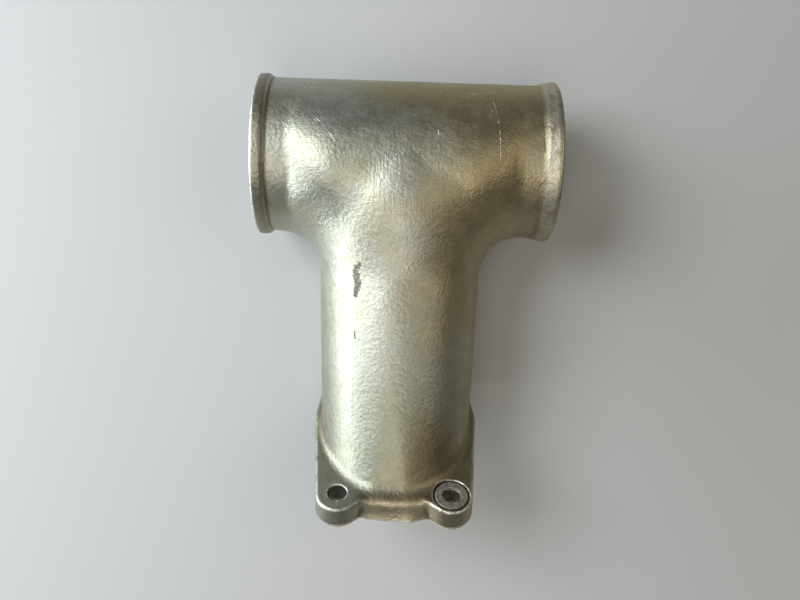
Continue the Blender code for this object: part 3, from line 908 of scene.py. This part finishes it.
def cast_normal(n, x, y, z, bare, dark):
    """The hammered skin and its grain, the dressing's striations, and the marks' hollows."""
    hammered = n.bump(n.noise(*HAMMERED), 0.00032, 0.70)
    grain = n.bump(n.noise(*GRAIN), 0.00010, 0.75, hammered)
    dressed = n.times(
        n.ramp(n.math('ABSOLUTE', x), *DRESSED_SIDE),
        n.ramp(y, *DRESSED_FRONT),
        n.ramp(y, *DRESSED_BACK),
        n.ramp(z, *DRESSED_HEIGHT),
    )
    lines = n.times(n.noise(*STRIATIONS, n.stretched(STRIATION_SCALE)), dressed)
    striated = n.bump(lines, 0.00012, 0.8, grain)
    hollows = n.math('SUBTRACT', 0.0, n.math('MAXIMUM', bare, dark))
    return n.bump(hollows, 0.0001, 0.8, striated)


def cast_alloy():
    n = Nodes("cast_alloy")
    x, y, z = n.split(n.place())
    bare, dark = mark_masks(n)
    colour = worn(n, low_brown_and_web(n, film_colour(n, x, y), x, y), bare, dark)
    rough = n.ramp(n.noise(*DULL_PATCHES), 0.3, 0.7, 0.41, 0.52)
    rough = n.math('ADD', rough, n.times(dark, 0.25))
    metal = n.ramp(dark, 0.0, 1.0, 0.93, 0.35)
    return n.finish(colour, rough, metal, cast_normal(n, x, y, z, bare, dark))


def gasket_paper():
    n = Nodes("gasket_paper")
    fibres = n.noise(*FIBRES, n.stretched(FIBRE_SCALE))
    colour = n.colour(n.ramp(fibres, 0.3, 0.7), PAPER_DARK, PAPER_PALE)
    return n.finish(colour, 0.92, 0.0, n.bump(fibres, 0.0002, 0.8))


def washer_steel():
    n = Nodes("washer_steel")
    rust = n.ramp(n.noise(*RUST_PATCHES), 0.42, 0.58)
    colour = n.colour(rust, STEEL_GREY, STEEL_RUST)
    rough = n.ramp(rust, 0.0, 1.0, 0.42, 0.8)
    metal = n.ramp(rust, 0.0, 1.0, 0.95, 0.25)
    return n.finish(colour, rough, metal, n.bump(n.noise(*PITS), 0.0001, 0.8))


# --------------------------------------------------------------------------------------- loose pieces

def flange_matrix():
    """Places a piece that is modelled flat, in U, V and height over the joint face, in metres."""
    columns = np.stack([[1.0, 0.0, 0.0], FLANGE_UP, FLANGE_NORMAL], -1)
    matrix = Matrix(columns.tolist()).to_4x4()
    matrix.translation = Vector((JOINT_CENTRE + PLACE) * MM)
    return matrix


def turns(count):
    """Angles evenly round a full turn."""
    return np.arange(count) * 2 * math.pi / count


def port_outline(margin, points=72, rounds=30):
    """The bore's mouth in the joint face, in U and V, moved outward by margin.

    The branch tapers, so its size and the place where it meets the face are settled in rounds.
    """
    angles = turns(points)
    y = np.full(points, JOINT_CENTRE[1])
    for _ in range(rounds):
        width, depth = branch_half_sizes(y, inner=True)
        z = depth * np.cos(angles)
        y = JOINT_CENTRE[1] - (z - JOINT_CENTRE[2]) * FLANGE_NORMAL[2] / FLANGE_NORMAL[1]
    v = (np.stack([y, z], -1) - JOINT_CENTRE[1:]) @ FLANGE_UP[1:]
    mouth = np.stack([width * np.sin(angles), v], -1)
    outward = mouth - mouth.mean(0)
    return mouth + margin * outward / np.linalg.norm(outward, axis=-1, keepdims=True)


def even_outline(outline, spacing):
    """The closed outline again, with points at an even spacing."""
    closed = np.vstack([outline, outline[:1]])
    lengths = np.concatenate([[0], np.cumsum(np.linalg.norm(np.diff(closed, axis=0), axis=-1))])
    at = np.linspace(0, lengths[-1], int(lengths[-1] / spacing), endpoint=False)
    return np.stack([np.interp(at, lengths, closed[:, i]) for i in range(2)], -1)


def ragged(outline, seed, depth):
    """The outline with a torn, fibrous edge."""
    ahead = np.roll(outline, -1, 0) - np.roll(outline, 1, 0)
    outward = np.stack([ahead[:, 1], -ahead[:, 0]], -1)
    outward /= np.linalg.norm(outward, axis=-1, keepdims=True)
    at = np.column_stack([outline, np.zeros(len(outline))])
    tear = lattice_noise(at, 2.3, seed) * 0.6 + lattice_noise(at, 0.7, seed + 1) * 0.4
    return outline + outward * (depth * tear)[:, None]


def gasket_loops(hole_points=40):
    """The gasket's torn outline, its port and its four bolt holes, in U and V."""
    outer = even_outline(flange_outline(EDGE_DRAFT - GASKET_INSET), GASKET_STEP) + [0.0, GASKET_SHIFT]
    loops = [ragged(outer, 5, GASKET_TEAR), port_outline(GASKET_PORT_MARGIN)]
    angles = turns(hole_points)
    hole = GASKET_HOLE_RADIUS * np.stack([np.cos(angles), np.sin(angles)], -1)
    for u in (-HALF_SPACING, HALF_SPACING):
        for v in (0.0, HEEL_ROW):
            loops.append(hole + [u, v])
    return loops


def gasket_piece():
    curve = bpy.data.curves.new("flange_gasket_sheet", 'CURVE')
    curve.dimensions = '2D'
    curve.fill_mode = 'BOTH'
    curve.extrude = (GASKET_THICKNESS / 2 - GASKET_EDGE_ROUND) * MM
    curve.bevel_depth = GASKET_EDGE_ROUND * MM
    curve.bevel_resolution = 1
    for loop in gasket_loops():
        spline = curve.splines.new('POLY')
        spline.points.add(len(loop) - 1)
        flat = np.column_stack([loop * MM, np.zeros(len(loop)), np.ones(len(loop))])
        spline.points.foreach_set("co", flat.astype(np.float32).ravel())
        spline.use_cyclic_u = True
    holder = bpy.data.objects.new("gasket_curve", curve)
    bpy.context.scene.collection.objects.link(holder)
    data = evaluated_copy(holder)
    bpy.data.objects.remove(holder)
    middle = Matrix.Translation((0, 0, -(TOUCH_GAP + GASKET_THICKNESS / 2) * MM))
    data.transform(flange_matrix() @ middle)
    return add_piece("gasket_sheet", data, gasket_paper())


def washer_profile(round_steps=4):
    """Half of the washer's section, rounded at its corners: radius and height over the joint face."""
    bottom = FLANGE_THICKNESS - SPOT_FACE_DEPTH + TOUCH_GAP
    corners = (
        (WASHER_HOLE_RADIUS, bottom, math.pi),
        (WASHER_RADIUS, bottom, 1.5 * math.pi),
        (WASHER_RADIUS, bottom + WASHER_THICKNESS, 0.0),
        (WASHER_HOLE_RADIUS, bottom + WASHER_THICKNESS, 0.5 * math.pi),
    )
    middle = np.array([(WASHER_HOLE_RADIUS + WASHER_RADIUS) / 2, bottom + WASHER_THICKNESS / 2])
    profile = []
    for r, h, start in corners:
        centre = np.array([r, h]) + WASHER_EDGE_ROUND * np.sign(middle - [r, h])
        for i in range(round_steps + 1):
            angle = start + math.pi / 2 * i / round_steps
            profile.append(centre + WASHER_EDGE_ROUND * np.array([math.cos(angle), math.sin(angle)]))
    return np.array(profile)


def washer_piece(segments=96):
    """A plain washer with slightly dented faces."""
    profile = washer_profile()
    angles = turns(segments)
    rings = np.stack([
        HALF_SPACING + profile[None, :, 0] * np.cos(angles)[:, None],
        profile[None, :, 0] * np.sin(angles)[:, None],
        np.repeat(profile[None, :, 1], segments, 0),
    ], -1)
    points = rings.reshape(-1, 3)
    points[:, 2] += WASHER_DENT * lattice_noise(points, 1.7, 31)
    count = len(profile)
    faces = []
    for i in range(segments):
        j = (i + 1) % segments
        for k in range(count):
            m = (k + 1) % count
            faces.append((i * count + k, j * count + k, j * count + m, i * count + m))
    data = new_mesh("washer_ring", points * MM, faces)
    data.transform(flange_matrix())
    data.shade_smooth()
    return add_piece("washer_ring", data, washer_steel())


# ---------------------------------------------------------------------------- floor, light and camera

def make_floor():
    bpy.ops.mesh.primitive_plane_add(size=6.0, location=(0, 0, 0))
    floor = bpy.context.object
    floor.name = "floor"
    n = Nodes("floor")
    colour = n.colour(n.noise(*FLOOR_CLOUDS), FLOOR_DARK, FLOOR_PALE)
    floor.data.materials.append(n.finish(colour, 0.9, 0.0, n.bump(n.noise(*FLOOR_GRAIN), 0.00005, 0.2)))


def soft_light(name, place, width, height, power, colour):
    light = bpy.data.lights.new(name, 'AREA')
    light.shape = 'RECTANGLE'
    light.size, light.size_y = width, height
    light.energy = power
    light.color = colour
    lamp = bpy.data.objects.new(name, light)
    lamp.location = place
    lamp.rotation_euler = (Vector(LAMP_TARGET) - Vector(place)).to_track_quat('-Z', 'Y').to_euler()
    bpy.context.scene.collection.objects.link(lamp)


def make_light():
    world = bpy.data.worlds.new("studio")
    bpy.context.scene.world = world
    world.use_nodes = True
    background = world.node_tree.nodes["Background"]
    background.inputs["Color"].default_value = (*SKY_COLOUR, 1)
    background.inputs["Strength"].default_value = SKY_STRENGTH
    for lamp in LAMPS:
        soft_light(*lamp)


def make_camera():
    """A camera straight above the part, as in the photograph."""
    camera = bpy.data.cameras.new("camera")
    camera.lens = CAMERA_LENS
    camera.sensor_width = CAMERA_SENSOR
    camera.clip_start = 0.01
    eye = bpy.data.objects.new("camera", camera)
    turn = Matrix.Rotation(-CAMERA_LEAN, 4, 'Y') @ Matrix.Rotation(-CAMERA_ROLL, 4, 'Z')
    eye.matrix_world = Matrix.Translation(Vector((PLACE + CAMERA_PLACE) * MM)) @ turn
    bpy.context.scene.collection.objects.link(eye)
    bpy.context.scene.camera = eye


# ----------------------------------------------------------------------------------------------- main

def main():
    casting = add_piece("casting_skin", casting_mesh(), cast_alloy())
    gasket = gasket_piece()
    washer = washer_piece()
    for piece, node, slot in (
        (casting, "tee_casting", "cast_alloy"),
        (gasket, "flange_gasket", "gasket_paper"),
        (washer, "toe_bolt_washer", "washer_steel"),
    ):
        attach(piece, "root")
        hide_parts(node)
    make_floor()
    make_light()
    make_camera()
    bpy.context.scene.view_settings.view_transform = 'Standard'


main()
